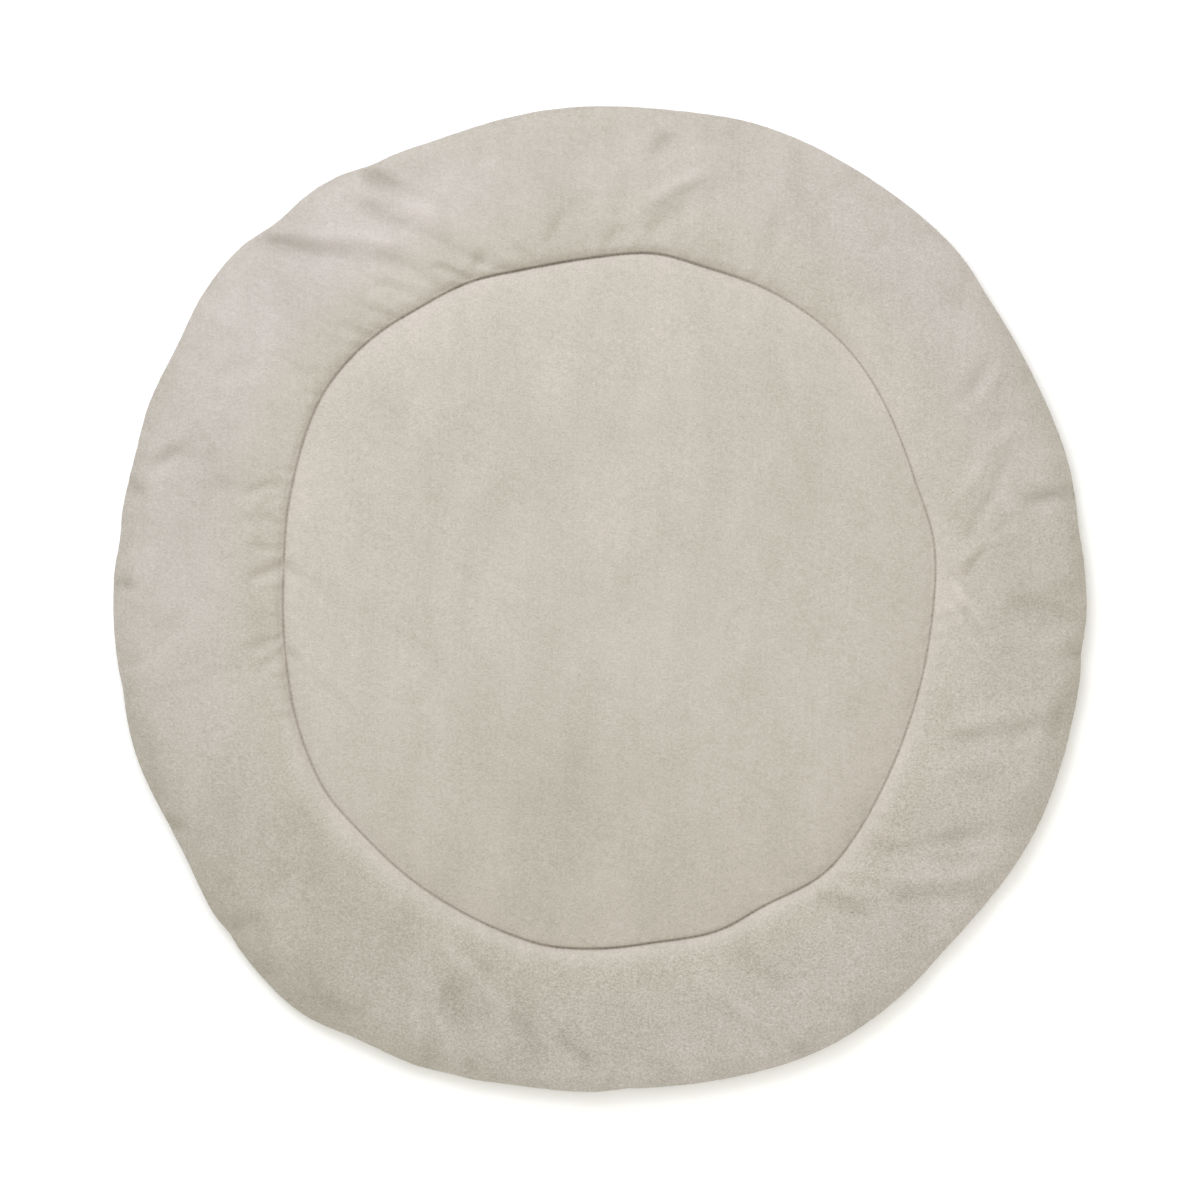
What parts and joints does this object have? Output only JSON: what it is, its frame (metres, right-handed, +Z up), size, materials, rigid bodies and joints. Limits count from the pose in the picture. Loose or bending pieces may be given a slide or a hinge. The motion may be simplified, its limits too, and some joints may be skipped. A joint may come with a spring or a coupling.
{
  "type": "padded baby play mat",
  "caption": "Round padded play mat of short sand-coloured plush, with a gently crowned middle and a full border set off by a sunk stitched ring, lying flat.",
  "frame": {"origin": "on the surface the mat lies on, below the middle of its outline", "axes": "+Z up, +Y away from the viewer along the knit lines of the plush, +X to the right"},
  "size_m": [0.8884, 0.8998, 0.0335],
  "materials": {
    "plush_cloth": "short brushed plush with fine knit lines, matt with a soft sheen"
  },
  "bodies": {
    "root": {"play_mat": "plush_cloth"}
  },
  "joints": []
}
